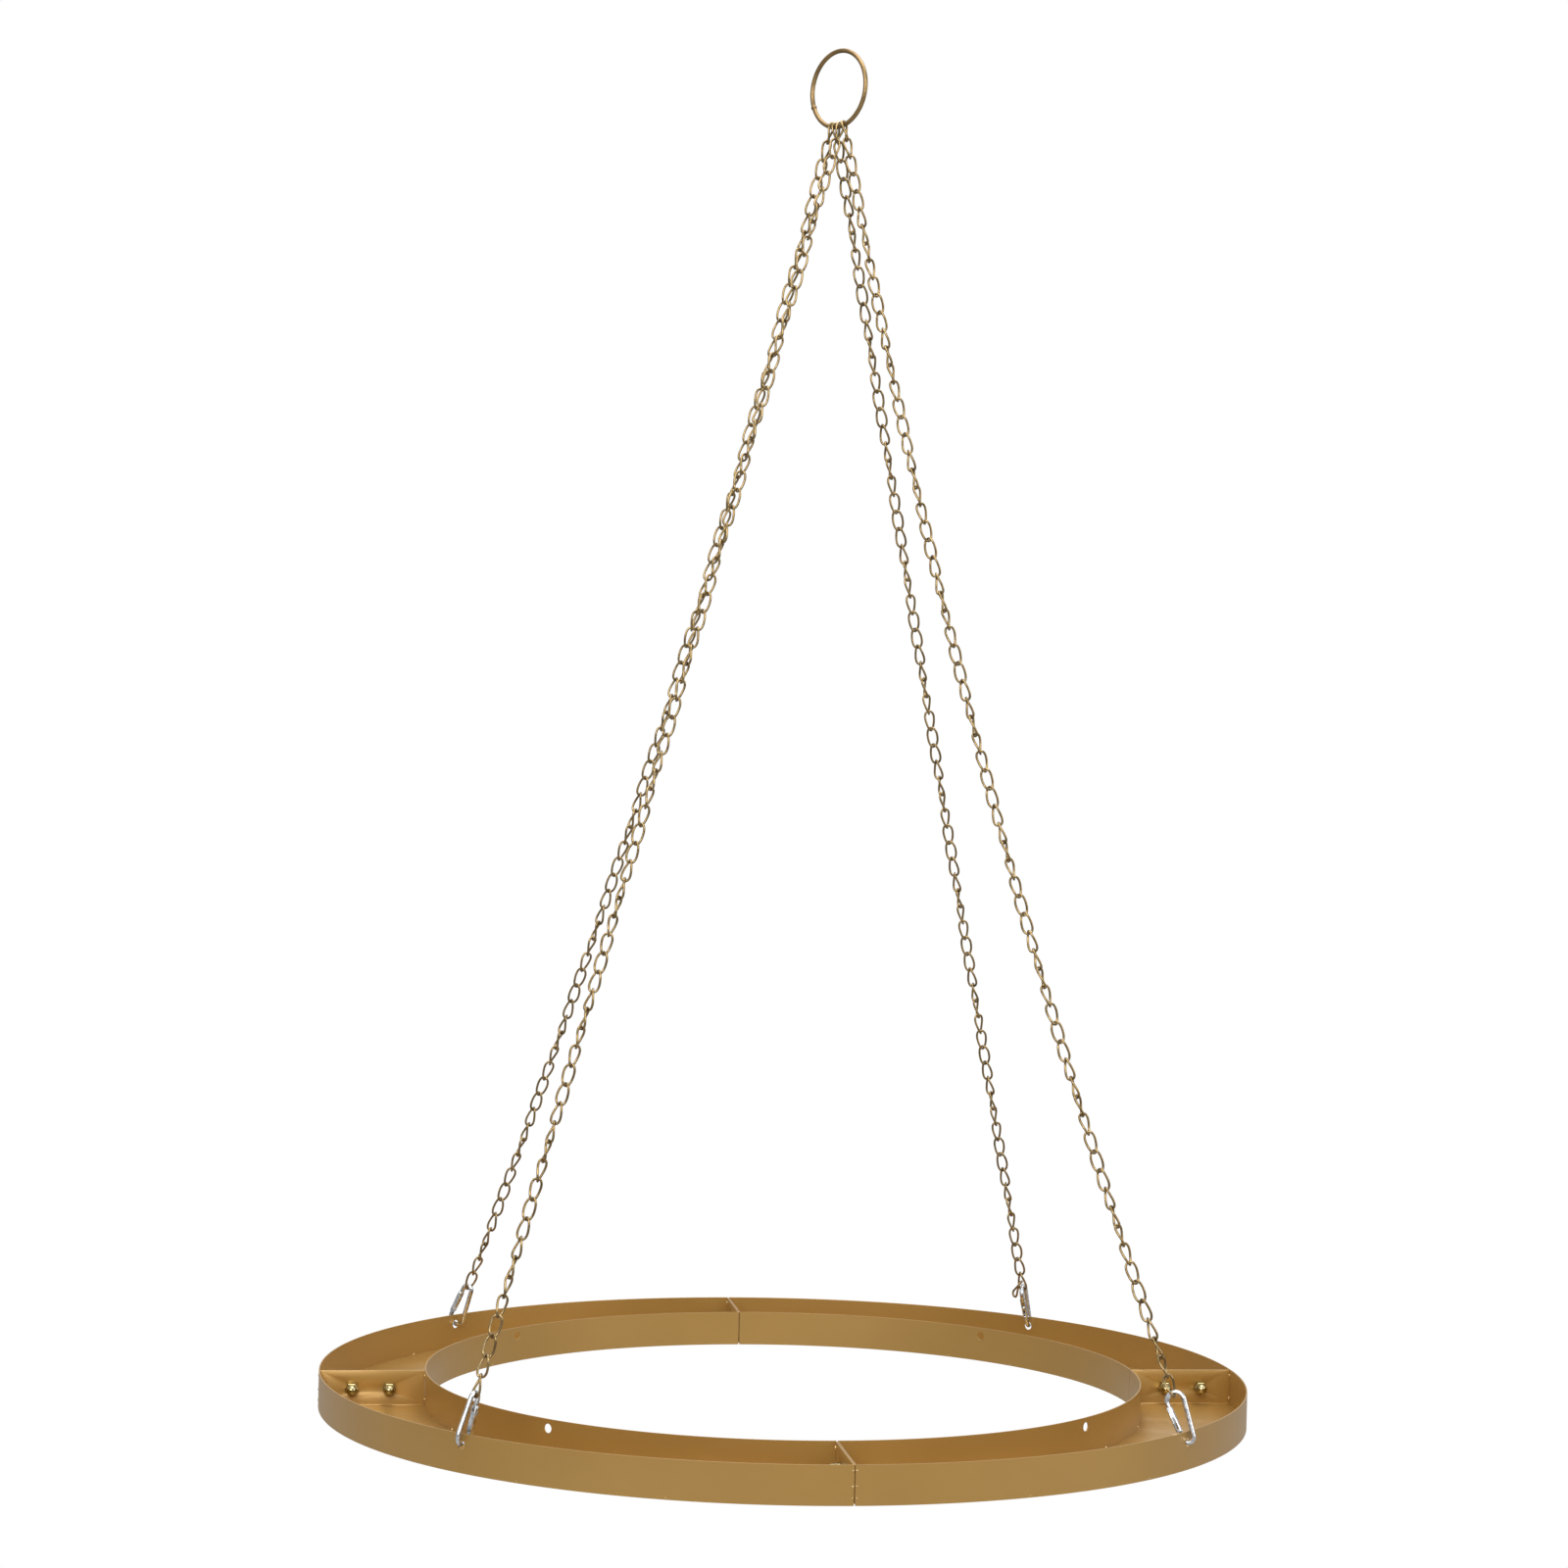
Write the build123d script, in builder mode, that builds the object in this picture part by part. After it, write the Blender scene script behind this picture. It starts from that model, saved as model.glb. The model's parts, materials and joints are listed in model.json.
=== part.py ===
from build123d import *

import os
from math import asin, atan2, cos, degrees, radians, sin, sqrt

# Hanging wreath frame: a round trough of four bolted quadrants, hung by four
# twisted-link chains from one welded ring. Each chain ends in a spring snap hook
# clipped through a hole in the trough's outer wall.
# Millimetres. +Z is up, the origin is the centre of the trough at its underside,
# and the four bolted joints lie on the X and Y axes.

# Trough
outer_radius = 400.0
channel_width = 91.4
wall_height = 31.0
sheet = 1.0
flange_gap = 0.15          # from the joint's plane to each end flange
wall_gap = 0.5             # from the joint's plane to each wall's end
bend_radius = 2.0          # outside radius of the fold at a flange's foot
flange_drop = 0.4          # flange top below the walls' top
flange_relief = 0.5        # flange edge short of the inner wall
hook_hole = 7.5
outer_hole_depth = 9.0     # hole centre below the wall's top edge
inner_hole_depth = 7.5
bolt_radii = (340.0, 372.0)
bolt_height = 15.0
bolt_clearance = 6.6
bead_size = 1.5            # radius of a tack weld in a corner
seam_tacks = (20.5, 51.5)  # along the floor's seams, and their mirror images

# M6 bolts and domed nuts
bolt_size = 6.0
bolt_length = 12.0
hex_flats = 10.0
head_height = 4.0
nut_hex_height = 5.5
nut_height = 12.0
nut_bore = 6.16
nut_sides = (-1, 1, 1, -1)  # side of each joint that carries the domes

# Welded ring at the top
ring_wire = 4.0
ring_radius = 33.0         # centre line of the wire
ring_azimuth = -54.4       # heading of the ring's plane
ring_low = 1112.0          # height of the wire's centre at the ring's lowest point
ring_offset = (21.8, -3.0)  # from the trough's axis: the chains are drawn up unevenly

# Twisted chain link
link_wire = 2.0
link_length = 20.0
link_width = 10.4
link_twist = -66.0         # left-handed
link_bend = 3.66
links_per_chain = 71
seat_gap = 0.25            # slack where a link sits on the ring or in a hook

# Spring snap hook
hook_wire = 4.0
hook_length = 45.0
bow_radius = 7.0           # centre line at the wide end
heel_radius = 4.5          # centre line at the narrow end
rivet_height = 11.0        # above the wire's centre at the narrow end
gate_reach = 20.2          # rivet to the gate's free end
gate_width = 4.6
gate_wall = 0.8
gate_slot = 2.3
tongue = 2.0               # thickness of the flattened wire inside the gate
rivet_size = 1.8
spring_size = 1.9
spring_wire = 0.35
spring_turns = 8
spring_stop = 9.6          # web in the gate that the coil pushes on

# Spare link on the first chain, past its hook
spare_rise = 8.7           # its end above the last link's end
spare_side = 0.7
spare_lean = 33.0
spare_turn = -16.0

# Each hanger: heading of its hole, twist of its hook about the chain, whether the
# gate faces inward and the wide end is up, place of its chain along the ring's wire,
# turn of its first link, how far the hook's end stands out and down from the hole,
# and how far the chain sags below a straight line
hangers = (
    {"heading": 45.8, "twist": 16.0, "gate_in": True, "wide_up": True, "seat": -2.8, "turn": -16.0,
     "out": 1.6, "down": 1.1, "sag": 2.5},
    {"heading": 133.0, "twist": 9.0, "gate_in": False, "wide_up": False, "seat": -7.8, "turn": 0.0,
     "out": 1.0, "down": 1.2, "sag": 21.0},
    {"heading": 223.6, "twist": 7.0, "gate_in": True, "wide_up": False, "seat": 2.8, "turn": -16.0,
     "out": 1.0, "down": 1.2, "sag": 1.5},
    {"heading": 316.3, "twist": 16.0, "gate_in": True, "wide_up": True, "seat": 7.8, "turn": 0.0,
     "out": 2.1, "down": 1.4, "sag": 27.5},
)

# Worked-out sizes
inner_radius = outer_radius - channel_width
floor_outer = outer_radius - sheet
floor_inner = inner_radius + sheet
outer_hole_height = wall_height - outer_hole_depth
inner_hole_height = wall_height - inner_hole_depth
ring_height = ring_low + ring_radius
link_half = (link_length - link_wire) / 2
link_reach = (link_width - link_wire) / 2
hook_span = hook_length - hook_wire

os.makedirs("parts", exist_ok=True)


def save(part, name):
    part.label = name
    export_step(part, f"parts/{name}.step")


def turned(part, name, angle):
    """Write a copy of part turned about the vertical axis."""
    with BuildPart() as copy:
        with Locations(Location((0, 0, 0), (0, 0, angle))):
            add(part)
    save(copy.part, name)


# ---------------------------------------------------------------- quadrant sheets
# The first quadrant runs from the +X joint to the +Y joint; the rest are copies.

with BuildPart() as floor_plate:
    fold_line = flange_gap + bend_radius
    with BuildSketch():
        Circle(floor_outer)
        Circle(floor_inner, mode=Mode.SUBTRACT)
        with Locations((fold_line, fold_line)):
            Rectangle(outer_radius, outer_radius, align=(Align.MIN, Align.MIN), mode=Mode.INTERSECT)
    extrude(amount=sheet)
    flange_inner = floor_inner + flange_relief
    flange_outer = floor_outer - 0.1
    flange_top = wall_height - flange_drop
    bend_centre = (fold_line, bend_radius)
    with BuildSketch(Plane(origin=(flange_inner, 0, 0), x_dir=(0, 1, 0), z_dir=(1, 0, 0))):
        with Locations(bend_centre):
            Circle(bend_radius)
            Circle(bend_radius - sheet, mode=Mode.SUBTRACT)
            Rectangle(2 * bend_radius, 2 * bend_radius, align=(Align.MAX, Align.MAX), mode=Mode.INTERSECT)
        with Locations((flange_gap, bend_radius)):
            Rectangle(sheet, flange_top - bend_radius, align=(Align.MIN, Align.MIN))
        with Locations((fold_line, 0)):
            Rectangle(0.6, sheet, align=(Align.MIN, Align.MIN))
    extrude(amount=flange_outer - flange_inner)
    with BuildSketch(Plane.XZ.offset(-flange_gap - 2 * sheet)):
        with Locations(*[(radius, bolt_height) for radius in bolt_radii]):
            Circle(bolt_clearance / 2)
    extrude(amount=3 * sheet, mode=Mode.SUBTRACT)
    split(bisect_by=Plane(origin=(0, 0, 0), z_dir=(1, -1, 0)), keep=Keep.TOP)
    mirror(about=Plane(origin=(0, 0, 0), z_dir=(1, -1, 0)))


def wall_strip(radius_out, hole_height, hole_heading):
    """The first quadrant's curved wall strip with its hook hole at a heading."""
    with BuildPart() as strip:
        with BuildSketch():
            Circle(radius_out)
            Circle(radius_out - sheet, mode=Mode.SUBTRACT)
            with Locations((wall_gap, wall_gap)):
                Rectangle(outer_radius, outer_radius, align=(Align.MIN, Align.MIN), mode=Mode.INTERSECT)
        extrude(amount=wall_height)
        outward = Vector(cos(radians(hole_heading)), sin(radians(hole_heading)), 0)
        start = outward * (radius_out - 3 * sheet) + Vector(0, 0, hole_height)
        with BuildSketch(Plane(origin=start, z_dir=outward)):
            Circle(hook_hole / 2)
        extrude(amount=5 * sheet, mode=Mode.SUBTRACT)
    return strip.part


with BuildPart() as tack_welds:
    fold = flange_gap + sheet
    # Quarter-round beads up the corners between the end flanges and the walls
    for height in (3.5, 23.5):
        with BuildSketch(Plane.XY.offset(height)):
            with Locations((floor_outer - 0.01, fold)):
                Circle(bead_size)
            with Locations((floor_inner + 0.01, fold)):
                Circle(bead_size)
            with Locations((0, fold)):
                Rectangle(floor_inner + 0.01, 10, align=(Align.MIN, Align.MIN), mode=Mode.SUBTRACT)
            with Locations((floor_inner + 0.01, fold)):
                Rectangle(channel_width - 2 * sheet - 0.02, 10, align=(Align.MIN, Align.MIN), mode=Mode.INTERSECT)
        extrude(amount=4.0)
    # Round tacks on the outside of the wall beside the joint
    for height in (5.5, 14.5, 26.5):
        with BuildSketch(Plane.YZ.offset(outer_radius)):
            with Locations((wall_gap + 1.0, height)):
                Circle(0.9)
        extrude(amount=0.4)
    # Beads along the seams between the floor and the walls
    for angle in seam_tacks:
        outward = Vector(cos(radians(angle)), sin(radians(angle)), 0)
        for radius, into in ((floor_outer - 0.01, outward * -1), (floor_inner + 0.01, outward)):
            corner = outward * radius + Vector(0, 0, sheet)
            with BuildSketch(Plane(origin=corner, x_dir=into, z_dir=into.cross(Vector(0, 0, 1)))):
                Circle(bead_size)
                Rectangle(2 * bead_size, 2 * bead_size, align=(Align.MIN, Align.MIN), mode=Mode.INTERSECT)
            extrude(amount=bead_size, both=True)
    mirror(about=Plane(origin=(0, 0, 0), z_dir=(1, -1, 0)))

inner_wall = wall_strip(floor_inner, inner_hole_height, 45)
for index, hanger in enumerate(hangers):
    outer_wall = wall_strip(outer_radius, outer_hole_height, hanger["heading"] - 90 * index)
    turned(floor_plate.part, f"floor_plate_{index + 1}", 90 * index)
    turned(outer_wall, f"outer_wall_{index + 1}", 90 * index)
    turned(inner_wall, f"inner_wall_{index + 1}", 90 * index)
    turned(tack_welds.part, f"tack_welds_{index + 1}", 90 * index)

# ---------------------------------------------------------------- joint fasteners
# Made for the +X joint with the nuts on the -Y side.

seat = flange_gap + sheet

with BuildPart() as joint_bolts:
    with BuildSketch(Plane.XZ.offset(-seat)):
        with Locations(*[(radius, bolt_height) for radius in bolt_radii]):
            RegularPolygon(hex_flats / 2, 6, major_radius=False)
    extrude(amount=-head_height)
    chamfer(joint_bolts.edges().group_by(Axis.Y)[-1], 0.5)
    with BuildSketch(Plane.XZ.offset(-seat)):
        with Locations(*[(radius, bolt_height) for radius in bolt_radii]):
            Circle(bolt_size / 2)
    extrude(amount=bolt_length)
    chamfer(joint_bolts.edges().group_by(Axis.Y)[0], 0.6)

with BuildPart() as joint_nuts:
    dome_radius = (hex_flats - 1.0) / 2
    dome_centre = seat + nut_height - dome_radius
    with BuildSketch(Plane.XZ.offset(seat)):
        with Locations(*[(radius, bolt_height) for radius in bolt_radii]):
            RegularPolygon(hex_flats / 2, 6, major_radius=False)
    extrude(amount=nut_hex_height)
    chamfer(joint_nuts.edges().group_by(Axis.Y)[0], 0.5)
    with BuildSketch(Plane.XZ.offset(seat + nut_hex_height)):
        with Locations(*[(radius, bolt_height) for radius in bolt_radii]):
            Circle(dome_radius)
    extrude(amount=dome_centre - seat - nut_hex_height)
    with Locations(*[(radius, -dome_centre, bolt_height) for radius in bolt_radii]):
        Sphere(dome_radius)
    with BuildSketch(Plane.XZ.offset(seat)):
        with Locations(*[(radius, bolt_height) for radius in bolt_radii]):
            Circle(nut_bore / 2)
    extrude(amount=bolt_length - 2 * seat + 1.0, mode=Mode.SUBTRACT)

for index, side in enumerate(nut_sides):
    for group, name in ((joint_bolts.part, "joint_bolts"), (joint_nuts.part, "joint_nuts")):
        facing = group if side < 0 else group.mirror(Plane.XZ)
        turned(facing, f"{name}_{index + 1}", 90 * index)

# ---------------------------------------------------------------- welded top ring

ring_along = Vector(cos(radians(ring_azimuth)), sin(radians(ring_azimuth)), 0)
ring_normal = Vector(-ring_along.Y, ring_along.X, 0)
ring_centre = Vector(*ring_offset, ring_height)
ring_plane = Plane(origin=ring_centre, x_dir=ring_along, z_dir=ring_normal)

with BuildPart() as top_ring:
    with Locations(ring_plane.location):
        Torus(ring_radius, ring_wire / 2)
    weld = Vector(-ring_radius * cos(radians(22)), ring_radius * sin(radians(22)), 0)
    with Locations(Plane(origin=ring_plane.from_local_coords(weld), z_dir=ring_normal).location):
        Sphere(ring_wire / 2 + 0.6)
save(top_ring.part, "top_ring")

# ---------------------------------------------------------------- chain link


def link_corner(side, end):
    """Corner of the link's centre line before its ends are rounded."""
    angle = radians(end * link_twist / 2)
    return Vector(side * link_reach * cos(angle), side * link_reach * sin(angle), end * link_half)


with BuildPart() as link:
    waist = link_reach * cos(radians(link_twist / 2))
    with BuildLine() as half_link:
        FilletPolyline(
            (waist, 0, 0), link_corner(1, 1), link_corner(-1, 1), (-waist, 0, 0), radius=link_bend
        )
    with BuildSketch(Plane(half_link.line @ 0, z_dir=half_link.line % 0)):
        Circle(link_wire / 2)
    sweep()
    add(link.part.rotate(Axis.X, 180))

# ---------------------------------------------------------------- snap hook
# Local frame: Z along the hook from its narrow end, X towards the spine, the wire's
# centre at the narrow end on the origin.

side_lean = (bow_radius - heel_radius) / (hook_span - bow_radius - heel_radius)
side_cos = sqrt(1 - side_lean**2)
heel_centre = heel_radius
bow_centre = hook_span - bow_radius
heel_tangent = Vector(heel_radius * side_cos, 0, heel_centre - heel_radius * side_lean)
bow_tangent = Vector(bow_radius * side_cos, 0, bow_centre - bow_radius * side_lean)
side_run = (bow_tangent - heel_tangent).normalized()


def gate_side(height):
    """Point on the wire's centre line on the gate side at a height."""
    along = heel_tangent + side_run * ((height - heel_tangent.Z) / side_run.Z)
    return Vector(-along.X, 0, along.Z)


rivet_centre = gate_side(rivet_height)
gate_up = Vector(-side_run.X, 0, side_run.Z)
gate_inward = Vector(gate_up.Z, 0, -gate_up.X)
# X of this plane points into the hook, Y runs up the gate, Z is the hook's normal
gate_plane = Plane(origin=rivet_centre, x_dir=gate_inward, z_dir=gate_inward.cross(gate_up))
nose_start = gate_reach + 0.6
nose_end = gate_reach - 2.6

with BuildPart() as hook_body:
    hinge_end = rivet_centre + gate_up * (hook_wire / 2)
    nose_tip = rivet_centre + gate_up * nose_end
    with BuildLine() as wire:
        Line(hinge_end, Vector(-heel_tangent.X, 0, heel_tangent.Z))
        ThreePointArc(Vector(-heel_tangent.X, 0, heel_tangent.Z), Vector(0, 0, 0), heel_tangent)
        Line(heel_tangent, bow_tangent)
        ThreePointArc(bow_tangent, Vector(0, 0, hook_span), Vector(-bow_tangent.X, 0, bow_tangent.Z))
        Line(Vector(-bow_tangent.X, 0, bow_tangent.Z), nose_tip)
    with BuildSketch(Plane(wire.line @ 0, z_dir=wire.line % 0)):
        Circle(hook_wire / 2)
    sweep()
    # The two ends are flattened to tongues that the gate's cheeks straddle
    tongue_length = nose_start + gate_width / 2 + 0.5
    for side in (1, -1):
        with BuildSketch(gate_plane.offset(side * tongue / 2)):
            with Locations((0, -gate_width / 2 - 0.5)):
                Rectangle(hook_wire + 1, tongue_length, align=(Align.CENTER, Align.MIN))
        extrude(amount=side * hook_wire, mode=Mode.SUBTRACT)
    # The nose is thinned on the inside to let the gate's web close over it
    with BuildSketch(gate_plane.offset(-hook_wire)):
        with Locations((gate_width / 2 - gate_wall - 0.3, nose_end - 1)):
            Rectangle(hook_wire, nose_start - nose_end + 1, align=(Align.MIN, Align.MIN))
    extrude(amount=2 * hook_wire, mode=Mode.SUBTRACT)
    # The hinge end is rounded about the rivet
    with BuildSketch(gate_plane.offset(-hook_wire)):
        Rectangle(hook_wire + 1, hook_wire, align=(Align.CENTER, Align.MIN))
        Circle(hook_wire / 2, mode=Mode.SUBTRACT)
    extrude(amount=2 * hook_wire, mode=Mode.SUBTRACT)
    with BuildSketch(gate_plane.offset(-hook_wire)):
        Circle(rivet_size / 2)
    extrude(amount=2 * hook_wire, mode=Mode.SUBTRACT)

with BuildPart() as hook_gate:
    half = gate_width / 2
    with BuildSketch(gate_plane.offset(-half)):
        Circle(half)
        Rectangle(gate_width, gate_reach - 1.2, align=(Align.CENTER, Align.MIN))
        with Locations((0, gate_reach - 1.2)):
            Rectangle(gate_width - 1.0, 1.2, align=(Align.CENTER, Align.MIN))
    extrude(amount=gate_width)
    fillet(hook_gate.edges().filter_by(lambda edge: edge.length > 15), 0.9)
    # Channel between the cheeks, open to the outside, with a stop for the spring
    with BuildSketch(gate_plane.offset(-gate_slot / 2)):
        with Locations((half - gate_wall, -half - 1)):
            Rectangle(gate_width, gate_reach + gate_width, align=(Align.MAX, Align.MIN))
        with Locations((0, -half - 1)):
            Rectangle(2 * gate_width, 2 * half + 1.9, align=(Align.CENTER, Align.MIN))
        with Locations((half - gate_wall, spring_stop)):
            Rectangle(gate_width - gate_wall, 1.0, align=(Align.MAX, Align.MIN), mode=Mode.SUBTRACT)
    extrude(amount=gate_slot, mode=Mode.SUBTRACT)
    with BuildSketch(gate_plane.offset(-half - 1)):
        Circle(rivet_size / 2 + 0.1)
    extrude(amount=gate_width + 2, mode=Mode.SUBTRACT)

with BuildPart() as hook_rivet:
    with BuildSketch(gate_plane.offset(-gate_width / 2 - 0.2)):
        Circle(rivet_size / 2)
    extrude(amount=gate_width + 0.4)
    for side in (1, -1):
        with BuildSketch(gate_plane.offset(side * (gate_width / 2 + 0.1))):
            Circle(1.5)
        extrude(amount=side * 0.6, taper=35)

with BuildPart() as hook_spring:
    coil_radius = (spring_size - spring_wire) / 2
    coil_start = hook_wire / 2 + 0.35 + spring_wire / 2
    coil_end = spring_stop - spring_wire / 2 - 0.35
    with BuildLine() as coil:
        Helix(
            (coil_end - coil_start) / spring_turns,
            coil_end - coil_start,
            coil_radius,
            center=gate_plane.from_local_coords(Vector(0.4, coil_start, 0)),
            direction=gate_plane.y_dir,
        )
    with BuildSketch(Plane(coil.line @ 0, z_dir=coil.line % 0)):
        Circle(spring_wire / 2)
    sweep(is_frenet=True)

# ---------------------------------------------------------------- place the chains and hooks


def upright(vector, along):
    """The part of vector square to along, as a unit vector."""
    return (vector - along * vector.dot(along)).normalized()


def square_plane(origin, along, towards):
    """Plane whose Z runs along one direction and whose X leans towards another."""
    return Plane(origin=origin, x_dir=upright(towards, along), z_dir=along)


for index, hanger in enumerate(hangers):
    heading = radians(hanger["heading"])
    outward = Vector(cos(heading), sin(heading), 0)
    # Wire centre of the ring under this chain's first link
    ring_seat = ring_centre + ring_along * hanger["seat"]
    ring_seat -= Vector(0, 0, sqrt(ring_radius**2 - hanger["seat"] ** 2))
    hole_top = outer_hole_height + hook_hole / 2
    hook_seat = outward * (outer_radius - sheet / 2 + hanger["out"])
    hook_seat += Vector(0, 0, hole_top - hook_wire / 2 - hanger["down"])

    # The chain and its hook lie along a shallow arc below the straight line
    line = ring_seat - hook_seat
    chord = line.normalized()
    downward = upright(Vector(0, 0, -1), chord)
    arc_radius = line.length**2 / (8 * hanger["sag"]) + hanger["sag"] / 2
    half_arc = asin(line.length / (2 * arc_radius))
    arc_centre = (ring_seat + hook_seat) * 0.5 - downward * (arc_radius - hanger["sag"])
    arc_length = 2 * half_arc * arc_radius

    def arc_direction(distance):
        """Direction towards the ring at a distance below the ring's end of the arc."""
        angle = distance / arc_radius - half_arc
        return downward * sin(angle) + chord * cos(angle)

    def arc_point(distance):
        angle = distance / arc_radius - half_arc
        return arc_centre + (downward * cos(angle) - chord * sin(angle)) * arc_radius

    # The hook stands in the wall's hole with its spine or its gate outward
    up = arc_direction(arc_length - hook_span / 2)
    spine = upright(outward.rotate(Axis.Z, hanger["twist"]), up)
    if not hanger["gate_in"]:
        spine = spine * -1
    hook_plane = Plane(origin=hook_seat, x_dir=spine, z_dir=up)
    turn = Location((0, 0, 0)) if hanger["wide_up"] else Location((0, 0, hook_span), (180, 0, 0))
    for piece, name in (
        (hook_body.part, "hook_body"),
        (hook_gate.part, "hook_gate"),
        (hook_rivet.part, "hook_rivet"),
        (hook_spring.part, "hook_spring"),
    ):
        save(piece.moved(hook_plane.location * turn), f"{name}_{index + 1}")

    # Links hang from the ring, equally spaced, and each is turned past the one above;
    # the turn is trimmed so that the last link lies square to the hook
    touch = (link_wire + ring_wire) / 2 + seat_gap
    first_link = link_half - touch
    last_link = arc_length - hook_span + touch - link_half
    steps = links_per_chain - 1
    pitch = (last_link - first_link) / steps
    start = hanger["turn"] - link_twist / 2
    hook_side = square_plane(hook_seat, up, ring_normal)
    hook_angle = degrees(atan2(spine.dot(hook_side.y_dir), spine.dot(hook_side.x_dir)))
    last_end = start - steps * (90 + link_twist) - link_twist / 2
    error = (last_end - hook_angle) % 180 + 90
    step = 90 + link_twist + error / steps
    print(f"chain {index + 1}: length {arc_length:.2f}, pitch {pitch:.3f}, turn {step:.3f}")
    links = []
    for number in range(links_per_chain):
        distance = first_link + number * pitch
        place = square_plane(arc_point(distance), arc_direction(distance), ring_normal)
        links.append(link.part.moved(place.location * Location((0, 0, 0), (0, 0, start - number * step))))
    save(Compound(links), f"chain_{index + 1}")

    if index == 0:
        # The spare link hangs on the last link's leg, above the hook
        across = hook_plane.y_dir
        hold = arc_point(last_link) + up * (spare_rise - link_half) + across * spare_side
        lean = radians(spare_lean)
        spare_up = up * cos(lean) - across * sin(lean)
        spare_plane = square_plane(hold - spare_up * link_half, spare_up, spine)
        spare_place = spare_plane.location * Location((0, 0, 0), (0, 0, spare_turn - link_twist / 2))
        save(link.part.moved(spare_place), "spare_link")
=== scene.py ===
import json
import random
from math import asin, atan2, copysign, cos, degrees, pi, radians, sin, sqrt

import bmesh
import bpy
from mathutils import Matrix, Vector, noise


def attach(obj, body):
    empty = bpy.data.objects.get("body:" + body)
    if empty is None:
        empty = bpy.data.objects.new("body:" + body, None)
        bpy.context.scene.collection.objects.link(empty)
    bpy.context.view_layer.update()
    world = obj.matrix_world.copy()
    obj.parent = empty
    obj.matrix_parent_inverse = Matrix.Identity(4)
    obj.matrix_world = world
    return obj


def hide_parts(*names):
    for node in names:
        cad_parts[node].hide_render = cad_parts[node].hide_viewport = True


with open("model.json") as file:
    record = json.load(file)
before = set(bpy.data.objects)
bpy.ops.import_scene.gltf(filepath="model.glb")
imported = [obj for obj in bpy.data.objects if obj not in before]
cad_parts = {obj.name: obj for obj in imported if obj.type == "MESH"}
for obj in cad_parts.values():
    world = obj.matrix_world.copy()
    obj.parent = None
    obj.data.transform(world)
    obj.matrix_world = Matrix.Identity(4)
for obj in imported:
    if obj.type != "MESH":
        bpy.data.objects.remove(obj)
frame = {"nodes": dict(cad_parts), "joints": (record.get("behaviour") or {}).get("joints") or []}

MM = 0.001
QUADRANTS = (1, 2, 3, 4)
UP = Vector((0, 0, 1))
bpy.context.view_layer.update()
nodes = frame["nodes"]
joints = {joint["name"]: joint for joint in frame["joints"]}

# Trough
OUTER_RADIUS = 400.0 * MM
CHANNEL_WIDTH = 91.4 * MM
WALL_HEIGHT = 31.0 * MM
SHEET = 1.0 * MM
WALL_GAP = 0.5 * MM        # from a joint's plane to each wall's end
FLANGE_GAP = 0.15 * MM     # from a joint's plane to each end flange
HOOK_HOLE = 7.5 * MM
OUTER_HOLE_HEIGHT = 22.0 * MM
INNER_HOLE_HEIGHT = 23.5 * MM
INNER_RADIUS = OUTER_RADIUS - CHANNEL_WIDTH
FLOOR_OUTER = OUTER_RADIUS - SHEET
FLOOR_INNER = INNER_RADIUS + SHEET

# Ring, chain links and snap hooks
RING_WIRE = 4.0 * MM
RING_RADIUS = 33.0 * MM
RING_AZIMUTH = radians(-54.4)
RING_LOW = 1112.0 * MM
RING_OFFSET = Vector((21.8, -3.0, 0)) * MM
LINK_WIRE = 2.0 * MM
LINK_HALF = 9.0 * MM       # from a link's middle to the wire's centre at its end
LINK_REACH = 4.35 * MM     # from its axis to the wire's centre at its side
LINK_TWIST = radians(-66.0)
LINK_OVAL = 2.6            # power of the superellipse that the wire follows
LINKS = 71
SEAT_GAP = 0.25 * MM       # slack where a link sits on the ring or in a hook
HOOK_SPAN = 41.0 * MM      # between the wire's centres at the hook's two ends
# Each hanger: heading of its hole, twist of its hook about the chain, whether the gate
# faces inward, place of its chain along the ring's wire, turn of its first link and sag
HANGERS = (
    {"heading": 45.8, "twist": 16.0, "gate_in": True, "seat": -2.8 * MM, "turn": -16.0, "sag": 2.5 * MM},
    {"heading": 133.0, "twist": 9.0, "gate_in": False, "seat": -7.8 * MM, "turn": 0.0, "sag": 21.0 * MM},
    {"heading": 223.6, "twist": 7.0, "gate_in": True, "seat": 2.8 * MM, "turn": -16.0, "sag": 1.5 * MM},
    {"heading": 316.3, "twist": 16.0, "gate_in": True, "seat": 7.8 * MM, "turn": 0.0, "sag": 27.5 * MM},
)

# Tack welds: heights of the beads in the corners and of the tacks on the outer wall,
# and headings of the beads along the floor's seams
CORNER_BEADS = (5.5, 25.5)
WALL_TACKS = (5.5, 14.5, 26.5)
SEAM_BEADS = (20.5, 51.5)

# Edges and facets
SHARP_ANGLE = radians(35)
WALL_SHARP_ANGLE = radians(50)
WALL_BEVEL = 0.22 * MM
WALL_COLUMNS = 160
HOLE_SIDES = 48
LINK_POINTS = 44
LINK_SIDES = 14

# Camera and stage, in metres and degrees
LENS = 76.69
CAMERA_HEADING = -7.864
CAMERA_PLACE = (-0.0092, -2.9038, 0.5459)
CAMERA_YAW = 0.041
CAMERA_PITCH = -0.114
CAMERA_ROLL = -1.359
FLOOR_HEIGHT = -0.45
FLOOR_REACH = 30.0
FLOOR_GREY = 0.36          # the share of light that the floor throws back


# ---------------------------------------------------------------- camera


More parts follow.
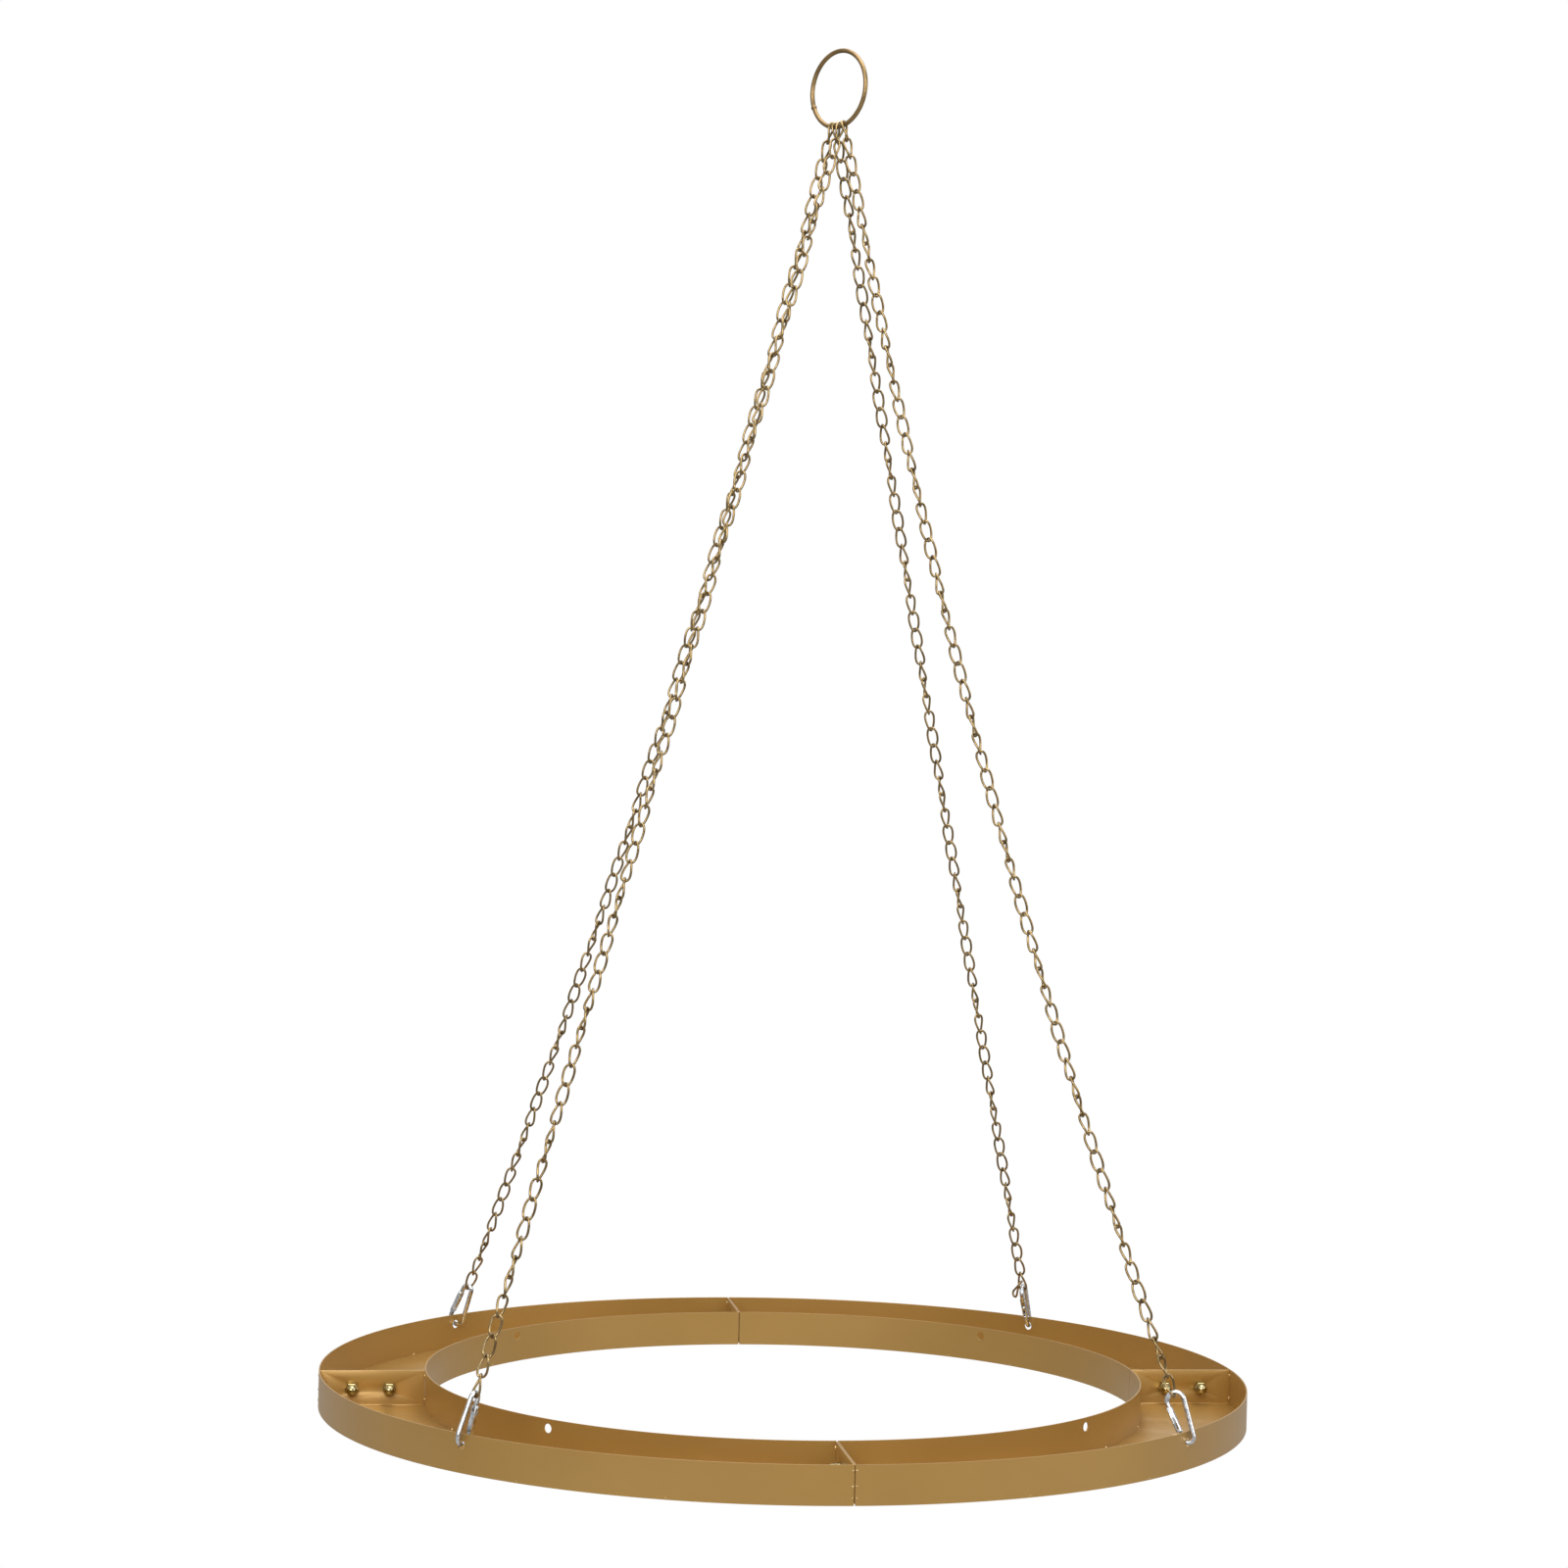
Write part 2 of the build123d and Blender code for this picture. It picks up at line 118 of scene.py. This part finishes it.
def place_camera():
    """A long lens a little above the trough, turned slightly past its front joint."""
    data = bpy.data.cameras.new("camera")
    camera = bpy.data.objects.new("camera", data)
    bpy.context.scene.collection.objects.link(camera)
    data.sensor_width = 36.0
    data.lens = LENS
    data.clip_start = 0.01
    data.clip_end = 200.0
    heading = Matrix.Rotation(radians(CAMERA_HEADING), 4, "Z")
    place = heading @ Vector(CAMERA_PLACE)
    turn = (
        heading
        @ Matrix.Rotation(radians(CAMERA_YAW), 4, "Z")
        @ Matrix.Rotation(radians(CAMERA_PITCH), 4, "X")
        @ Matrix.Rotation(radians(CAMERA_ROLL), 4, "Y")
        @ Matrix.Rotation(pi / 2, 4, "X")
    )
    camera.matrix_world = Matrix.Translation(place) @ turn
    bpy.context.scene.camera = camera


# ---------------------------------------------------------------- materials


def node_material(name):
    material = bpy.data.materials.new(name)
    material.use_nodes = True
    tree = material.node_tree
    return material, tree.nodes, tree.links, tree.nodes["Principled BSDF"]


def add_noise(tree_nodes, links, scale, detail, source):
    pattern = tree_nodes.new("ShaderNodeTexNoise")
    pattern.inputs["Scale"].default_value = scale
    pattern.inputs["Detail"].default_value = detail
    links.new(source, pattern.inputs["Vector"])
    return pattern.outputs["Fac"]


def add_ramp(tree_nodes, links, source, stops):
    ramp = tree_nodes.new("ShaderNodeValToRGB")
    ramp.color_ramp.elements[0].position = stops[0][0]
    ramp.color_ramp.elements[0].color = (*stops[0][1], 1)
    ramp.color_ramp.elements[1].position = stops[-1][0]
    ramp.color_ramp.elements[1].color = (*stops[-1][1], 1)
    for position, color in stops[1:-1]:
        ramp.color_ramp.elements.new(position).color = (*color, 1)
    links.new(source, ramp.inputs["Fac"])
    return ramp.outputs["Color"]


def metal(name, dark, light, roughness, metallic, coarse, fine, bump, coat=0.0):
    """Metal or metallic paint: cloudy colour, uneven gloss and a fine surface grain.

    Coarse and fine are the scales of the clouds and of the grain, coat a clear varnish.
    """
    material, tree_nodes, links, shader = node_material(name)
    coordinates = tree_nodes.new("ShaderNodeTexCoord").outputs["Object"]
    cloud = add_noise(tree_nodes, links, coarse, 4.0, coordinates)
    grain = add_noise(tree_nodes, links, fine, 3.0, coordinates)
    color = add_ramp(tree_nodes, links, cloud, ((0.35, dark), (0.65, light)))
    links.new(color, shader.inputs["Base Color"])
    gloss = tree_nodes.new("ShaderNodeMapRange")
    gloss.inputs["To Min"].default_value = roughness[0]
    gloss.inputs["To Max"].default_value = roughness[1]
    links.new(cloud, gloss.inputs["Value"])
    links.new(gloss.outputs["Result"], shader.inputs["Roughness"])
    relief = tree_nodes.new("ShaderNodeBump")
    relief.inputs["Strength"].default_value = bump
    relief.inputs["Distance"].default_value = 0.1 * MM
    links.new(grain, relief.inputs["Height"])
    links.new(relief.outputs["Normal"], shader.inputs["Normal"])
    shader.inputs["Metallic"].default_value = metallic
    shader.inputs["Coat Weight"].default_value = coat
    shader.inputs["Coat Roughness"].default_value = 0.35
    return material


gold_paint = metal(
    "gold_paint",
    dark=(0.370, 0.208, 0.048),
    light=(0.405, 0.233, 0.057),
    roughness=(0.32, 0.40),
    metallic=0.45,
    coarse=6.0,
    fine=900.0,
    bump=0.25,
    coat=0.35,
)
# Weld beads wear the same gold paint as the walls. The dark end of this colour is near the paint's own; the
# much lighter end is painted sheen standing in for the beads' shine. The higher metallic and lower
# roughness are the real gloss.
gold_weld_painted_sheen = metal(
    "gold_weld_painted_sheen",
    dark=(0.40, 0.25, 0.085),
    light=(0.66, 0.48, 0.24),
    roughness=(0.20, 0.32),
    metallic=0.7,
    coarse=400.0,
    fine=2500.0,
    bump=0.4,
)
gold_wire = metal(
    "gold_wire",
    dark=(0.21, 0.135, 0.055),
    light=(0.31, 0.205, 0.09),
    roughness=(0.26, 0.38),
    metallic=0.8,
    coarse=60.0,
    fine=1500.0,
    bump=0.3,
)
gold_chain = metal(
    "gold_chain",
    dark=(0.20, 0.135, 0.054),
    light=(0.35, 0.25, 0.118),
    roughness=(0.18, 0.30),
    metallic=0.95,
    coarse=90.0,
    fine=1500.0,
    bump=0.2,
)
bright_zinc = metal(
    "bright_zinc",
    dark=(0.42, 0.43, 0.44),
    light=(0.78, 0.79, 0.80),
    roughness=(0.10, 0.24),
    metallic=1.0,
    coarse=260.0,
    fine=1800.0,
    bump=0.25,
)
yellow_zinc = metal(
    "yellow_zinc",
    dark=(0.26, 0.24, 0.12),
    light=(0.50, 0.42, 0.22),
    roughness=(0.08, 0.18),
    metallic=1.0,
    coarse=160.0,
    fine=1800.0,
    bump=0.1,
)
spring_steel = metal(
    "spring_steel",
    dark=(0.40, 0.40, 0.41),
    light=(0.55, 0.55, 0.56),
    roughness=(0.22, 0.32),
    metallic=1.0,
    coarse=300.0,
    fine=3000.0,
    bump=0.1,
)


def finish_node(name, material, bevel=0.0):
    """Give a CAD node its material, smooth faces and slightly rounded edges."""
    piece = nodes[name]
    piece.data.materials.clear()
    piece.data.materials.append(material)
    for face in piece.data.polygons:
        face.use_smooth = True
        face.material_index = 0
    piece.data.set_sharp_from_angle(angle=SHARP_ANGLE)
    if bevel:
        weld = piece.modifiers.new("weld", "WELD")
        weld.merge_threshold = 0.002 * MM
        round_edges = piece.modifiers.new("bevel", "BEVEL")
        round_edges.width = bevel
        round_edges.segments = 2
        round_edges.limit_method = "ANGLE"
        round_edges.angle_limit = SHARP_ANGLE
        round_edges.harden_normals = True


def add_piece(name, mesh, material, body, replaced):
    """Add a mesh as a piece that rides on a body and stands for CAD nodes."""
    piece = bpy.data.objects.new(name, mesh)
    bpy.context.scene.collection.objects.link(piece)
    mesh.materials.clear()
    mesh.materials.append(material)
    for face in mesh.polygons:
        face.use_smooth = True
    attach(piece, body)
    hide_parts(*replaced)
    return piece


# ---------------------------------------------------------------- trough walls


def evaluated_mesh(piece, name):
    """The piece's mesh with its modifiers applied; the piece itself is removed."""
    bpy.context.view_layer.update()
    graph = bpy.context.evaluated_depsgraph_get()
    mesh = bpy.data.meshes.new_from_object(piece.evaluated_get(graph))
    mesh.name = name
    bpy.data.objects.remove(piece)
    return mesh


def flat_strip(length, hole_along, hole_height):
    """A flat strip in X and Z, from y=0 to y=sheet, with rounded edges and a round hole."""
    shape = bmesh.new()
    rings = []
    for column in range(WALL_COLUMNS + 1):
        x = length * column / WALL_COLUMNS
        corners = ((0, 0), (SHEET, 0), (SHEET, WALL_HEIGHT), (0, WALL_HEIGHT))
        rings.append([shape.verts.new((x, y, z)) for y, z in corners])
    for left, right in zip(rings, rings[1:]):
        for edge in range(4):
            following = (edge + 1) % 4
            shape.faces.new((left[edge], left[following], right[following], right[edge]))
    shape.faces.new(rings[0][::-1])
    shape.faces.new(rings[-1])
    bmesh.ops.recalc_face_normals(shape, faces=shape.faces)
    mesh = bpy.data.meshes.new("strip")
    shape.to_mesh(mesh)
    shape.free()
    strip = bpy.data.objects.new("strip", mesh)
    bpy.context.scene.collection.objects.link(strip)

    shape = bmesh.new()
    place = Matrix.Translation((hole_along, 0, hole_height)) @ Matrix.Rotation(pi / 2, 4, "X")
    bmesh.ops.create_cone(
        shape,
        cap_ends=True,
        segments=HOLE_SIDES,
        radius1=HOOK_HOLE / 2,
        radius2=HOOK_HOLE / 2,
        depth=8 * SHEET,
        matrix=place,
    )
    mesh = bpy.data.meshes.new("punch")
    shape.to_mesh(mesh)
    shape.free()
    punch = bpy.data.objects.new("punch", mesh)
    bpy.context.scene.collection.objects.link(punch)

    cut = strip.modifiers.new("hole", "BOOLEAN")
    cut.object = punch
    cut.operation = "DIFFERENCE"
    cut.solver = "EXACT"
    round_edges = strip.modifiers.new("bevel", "BEVEL")
    round_edges.width = WALL_BEVEL
    round_edges.segments = 2
    round_edges.limit_method = "ANGLE"
    round_edges.angle_limit = WALL_SHARP_ANGLE
    result = evaluated_mesh(strip, "wall")
    bpy.data.objects.remove(punch)
    return result


def bend_to_arc(mesh, radius_out, length, quadrant):
    """Wrap a flat strip round the wreath's axis, its y=0 face outward."""
    for vertex in mesh.vertices:
        along, depth, height = vertex.co
        reach = radius_out - depth
        angle = radians(90 * quadrant - 45) + (along - length / 2) / radius_out
        vertex.co = (reach * cos(angle), reach * sin(angle), height)
    mesh.update()


def build_walls():
    """The outer and the inner wall of each quadrant, with their hook holes."""
    for quadrant, hanger in zip(QUADRANTS, HANGERS):
        middle = 90 * quadrant - 45
        for label, radius_out, hole_height, heading in (
            ("outer_wall", OUTER_RADIUS, OUTER_HOLE_HEIGHT, hanger["heading"]),
            ("inner_wall", FLOOR_INNER, INNER_HOLE_HEIGHT, middle),
        ):
            length = radius_out * pi / 2 - 2 * WALL_GAP
            hole_along = length / 2 + radians(heading - middle) * radius_out
            mesh = flat_strip(length, hole_along, hole_height)
            bend_to_arc(mesh, radius_out, length, quadrant)
            mesh.flip_normals()
            name = f"{label}_{quadrant}"
            piece = add_piece(f"{name}_painted", mesh, gold_paint, "wreath", [name])
            weighted = piece.modifiers.new("normals", "WEIGHTED_NORMAL")
            weighted.keep_sharp = True


# ---------------------------------------------------------------- chains


def link_line():
    """Closed centre line of one link: a rounded oval along Z, twisted about Z."""
    points = []
    for index in range(LINK_POINTS):
        angle = 2 * pi * index / LINK_POINTS
        side = copysign(abs(cos(angle)) ** (2 / LINK_OVAL), cos(angle))
        end = copysign(abs(sin(angle)) ** (2 / LINK_OVAL), sin(angle))
        turn = end * LINK_TWIST / 2
        reach = side * LINK_REACH
        points.append(Vector((reach * cos(turn), reach * sin(turn), end * LINK_HALF)))
    return points


def link_shape():
    """Points and faces of one twisted link about the origin."""
    line = link_line()
    points = []
    for index, point in enumerate(line):
        tangent = (line[(index + 1) % LINK_POINTS] - line[index - 1]).normalized()
        outward = (point - tangent * point.dot(tangent)).normalized()
        across = tangent.cross(outward)
        for side in range(LINK_SIDES):
            angle = 2 * pi * side / LINK_SIDES
            points.append(point + (outward * cos(angle) + across * sin(angle)) * (LINK_WIRE / 2))
    faces = []
    for index in range(LINK_POINTS):
        here = index * LINK_SIDES
        there = (index + 1) % LINK_POINTS * LINK_SIDES
        for side in range(LINK_SIDES):
            beside = (side + 1) % LINK_SIDES
            faces.append((here + side, there + side, there + beside, here + beside))
    return points, faces


def upright(vector, along):
    """The part of vector square to along, as a unit vector."""
    return (vector - along * vector.dot(along)).normalized()


def frame_matrix(origin, x_axis, z_axis):
    y_axis = z_axis.cross(x_axis)
    turn = Matrix((x_axis, y_axis, z_axis)).transposed().to_4x4()
    return Matrix.Translation(origin) @ turn


class Arc:
    """The shallow curve that a chain and its hook lie on, from the ring down to the hole."""

    def __init__(self, ring_seat, hook_seat, sag):
        line = ring_seat - hook_seat
        self.chord = line.normalized()
        self.downward = upright(-UP, self.chord)
        self.radius = line.length**2 / (8 * sag) + sag / 2
        self.half = asin(line.length / (2 * self.radius))
        self.centre = (ring_seat + hook_seat) / 2 - self.downward * (self.radius - sag)
        self.length = 2 * self.half * self.radius

    def direction(self, distance):
        """Direction towards the ring at a distance below the ring's end of the arc."""
        angle = distance / self.radius - self.half
        return self.downward * sin(angle) + self.chord * cos(angle)

    def point(self, distance):
        angle = distance / self.radius - self.half
        return self.centre + (self.downward * cos(angle) - self.chord * sin(angle)) * self.radius


def build_chains():
    """The four chains, link by link, from the ring down to the snap hooks."""
    link_points, link_faces = link_shape()
    ring_along = Vector((cos(RING_AZIMUTH), sin(RING_AZIMUTH), 0))
    ring_normal = Vector((-ring_along.y, ring_along.x, 0))
    for index, hanger in enumerate(HANGERS):
        hook_seat = Vector(joints[f"hook_{index + 1}_twist"]["pos_m"])
        ring_seat = RING_OFFSET + ring_along * hanger["seat"]
        ring_seat.z = RING_LOW + RING_RADIUS - sqrt(RING_RADIUS**2 - hanger["seat"] ** 2)
        arc = Arc(ring_seat, hook_seat, hanger["sag"])
        up = arc.direction(arc.length - HOOK_SPAN / 2)
        heading = radians(hanger["heading"] + hanger["twist"])
        spine = upright(Vector((cos(heading), sin(heading), 0)), up)
        if not hanger["gate_in"]:
            spine = -spine
        touch = (LINK_WIRE + RING_WIRE) / 2 + SEAT_GAP
        first_link = LINK_HALF - touch
        last_link = arc.length - HOOK_SPAN + touch - LINK_HALF
        steps = LINKS - 1
        pitch = (last_link - first_link) / steps
        hook_side = upright(ring_normal, up)
        twist = degrees(LINK_TWIST)
        start = hanger["turn"] - twist / 2
        hook_angle = degrees(atan2(spine.dot(up.cross(hook_side)), spine.dot(hook_side)))
        last_end = start - steps * (90 + twist) - twist / 2
        step = 90 + twist + ((last_end - hook_angle) % 180 + 90) / steps
        points = []
        faces = []
        for number in range(LINKS):
            distance = first_link + number * pitch
            along = arc.direction(distance)
            spot = frame_matrix(arc.point(distance), upright(ring_normal, along), along)
            spot = spot @ Matrix.Rotation(radians(start - number * step), 4, "Z")
            base = len(points)
            points += [spot @ point for point in link_points]
            faces += [tuple(base + corner for corner in face) for face in link_faces]
        name = f"chain_{index + 1}"
        mesh = bpy.data.meshes.new(f"{name}_links")
        mesh.from_pydata(points, [], faces)
        mesh.validate()
        add_piece(f"{name}_links", mesh, gold_chain, "wreath", [name])


# ---------------------------------------------------------------- weld beads


def lump(shape, centre, size, rng):
    """Add one small uneven bead of weld to a mesh under construction."""
    made = bmesh.ops.create_icosphere(shape, subdivisions=3, radius=1.0)
    shift = Vector((rng.random(), rng.random(), rng.random())) * 50
    for vertex in made["verts"]:
        swell = 0.16 * noise.noise(vertex.co * 1.6 + shift)
        ripple = 0.05 * noise.noise(vertex.co * 4 + shift)
        vertex.co = centre + vertex.co * size * (1 + swell + ripple)


def bead_places():
    """Centre and half sizes of each weld bead at the first quadrant's starting end."""
    fold = FLANGE_GAP + SHEET
    beads = []
    for height in CORNER_BEADS:
        for radius in (FLOOR_OUTER, FLOOR_INNER):
            beads.append((Vector((radius, fold, height * MM)), Vector((0.9, 0.9, 1.9)) * MM))
    for height in WALL_TACKS:
        centre = Vector((OUTER_RADIUS, WALL_GAP + 1.0 * MM, height * MM))
        beads.append((centre, Vector((0.35, 0.85, 0.9)) * MM))
    for angle in SEAM_BEADS:
        outward = Vector((cos(radians(angle)), sin(radians(angle)), 0))
        for radius in (FLOOR_OUTER, FLOOR_INNER):
            beads.append((outward * radius + UP * 1.3 * SHEET, Vector((1.2, 1.2, 1.0)) * MM))
    return beads


def build_welds():
    """Weld beads at both ends of each quadrant, the second end a mirror image."""
    rng = random.Random(11)
    for quadrant in QUADRANTS:
        name = f"tack_welds_{quadrant}"
        shape = bmesh.new()
        for mirrored in (False, True):
            for centre, size in bead_places():
                if mirrored:
                    centre = centre.yxz
                    size = size.yxz
                lump(shape, centre, size, rng)
        turn = Matrix.Rotation(pi / 2 * (quadrant - 1), 3, "Z")
        bmesh.ops.rotate(shape, verts=shape.verts, cent=(0, 0, 0), matrix=turn)
        mesh = bpy.data.meshes.new(f"{name}_beads")
        shape.to_mesh(mesh)
        shape.free()
        add_piece(f"{name}_beads", mesh, gold_weld_painted_sheen, "wreath", [name])


# ---------------------------------------------------------------- stage


def build_stage():
    """A plain pale floor well below the hanging trough."""
    shape = bmesh.new()
    corners = ((-1, -1), (1, -1), (1, 1), (-1, 1))
    shape.faces.new([shape.verts.new((x * FLOOR_REACH, y * FLOOR_REACH, FLOOR_HEIGHT)) for x, y in corners])
    mesh = bpy.data.meshes.new("floor")
    shape.to_mesh(mesh)
    shape.free()
    floor = bpy.data.objects.new("floor", mesh)
    bpy.context.scene.collection.objects.link(floor)
    material, tree_nodes, links, shader = node_material("pale_floor")
    shader.inputs["Base Color"].default_value = (FLOOR_GREY, FLOOR_GREY, FLOOR_GREY, 1)
    shader.inputs["Roughness"].default_value = 0.9
    shader.inputs["Specular IOR Level"].default_value = 0.1
    # Seen white, like the paper behind a product, but it throws little light upward
    paper = tree_nodes.new("ShaderNodeEmission")
    seen = tree_nodes.new("ShaderNodeLightPath")
    mix = tree_nodes.new("ShaderNodeMixShader")
    links.new(seen.outputs["Is Camera Ray"], mix.inputs["Fac"])
    links.new(shader.outputs["BSDF"], mix.inputs[1])
    links.new(paper.outputs["Emission"], mix.inputs[2])
    links.new(mix.outputs["Shader"], tree_nodes["Material Output"].inputs["Surface"])
    mesh.materials.append(material)


def add_softbox(name, place, target, size, power):
    """A soft rectangular light that faces a point and isn't seen itself."""
    data = bpy.data.lights.new(name, "AREA")
    data.shape = "RECTANGLE"
    data.size = size[0]
    data.size_y = size[1]
    data.energy = power
    light = bpy.data.objects.new(name, data)
    bpy.context.scene.collection.objects.link(light)
    direction = Vector(target) - Vector(place)
    light.matrix_world = Matrix.Translation(place) @ direction.to_track_quat("-Z", "Y").to_matrix().to_4x4()
    light.visible_camera = False


def light_scene():
    """A pale room, three soft lights and a plain white backdrop."""
    world = bpy.data.worlds.new("studio")
    bpy.context.scene.world = world
    world.use_nodes = True
    tree = world.node_tree
    background = tree.nodes["Background"]
    background.inputs["Strength"].default_value = 1.0
    output = tree.nodes["World Output"]
    # The room that lights the object: pale above, greyer towards the floor
    coordinates = tree.nodes.new("ShaderNodeTexCoord").outputs["Generated"]
    split = tree.nodes.new("ShaderNodeSeparateXYZ")
    tree.links.new(coordinates, split.inputs["Vector"])
    height = tree.nodes.new("ShaderNodeMapRange")
    height.inputs["From Min"].default_value = -0.4
    height.inputs["From Max"].default_value = 0.7
    tree.links.new(split.outputs["Z"], height.inputs["Value"])
    greys = ((0.0, 0.45), (0.36, 0.50), (0.6, 0.62), (1.0, 0.95))
    stops = [(position, (grey, grey, grey)) for position, grey in greys]
    room = add_ramp(tree.nodes, tree.links, height.outputs["Result"], stops)
    tree.links.new(room, background.inputs["Color"])
    white = tree.nodes.new("ShaderNodeBackground")
    white.inputs["Color"].default_value = (1, 1, 1, 1)
    white.inputs["Strength"].default_value = 1.0
    seen = tree.nodes.new("ShaderNodeLightPath")
    mix = tree.nodes.new("ShaderNodeMixShader")
    tree.links.new(seen.outputs["Is Camera Ray"], mix.inputs["Fac"])
    tree.links.new(background.outputs["Background"], mix.inputs[1])
    tree.links.new(white.outputs["Background"], mix.inputs[2])
    tree.links.new(mix.outputs["Shader"], output.inputs["Surface"])
    add_softbox("key_light", (-1.3, -3.2, 1.9), (0, 0, 0.2), (2.4, 1.8), 80)
    add_softbox("fill_light", (2.8, -1.6, 1.3), (0, 0, 0.3), (1.6, 1.6), 30)
    add_softbox("top_light", (0.2, -0.2, 3.0), (0, 0, 0), (2.4, 2.4), 64)
    bpy.context.scene.view_settings.view_transform = "Standard"
    bpy.context.scene.view_settings.look = "None"


place_camera()
for quadrant in QUADRANTS:
    finish_node(f"floor_plate_{quadrant}", gold_paint, 0.2 * MM)
    finish_node(f"joint_bolts_{quadrant}", yellow_zinc, 0.15 * MM)
    finish_node(f"joint_nuts_{quadrant}", yellow_zinc, 0.15 * MM)
    finish_node(f"hook_body_{quadrant}", bright_zinc)
    finish_node(f"hook_gate_{quadrant}", bright_zinc, 0.1 * MM)
    finish_node(f"hook_rivet_{quadrant}", bright_zinc)
    finish_node(f"hook_spring_{quadrant}", spring_steel)
finish_node("top_ring", gold_wire)
finish_node("spare_link", gold_chain)
build_walls()
build_chains()
build_welds()
build_stage()
light_scene()
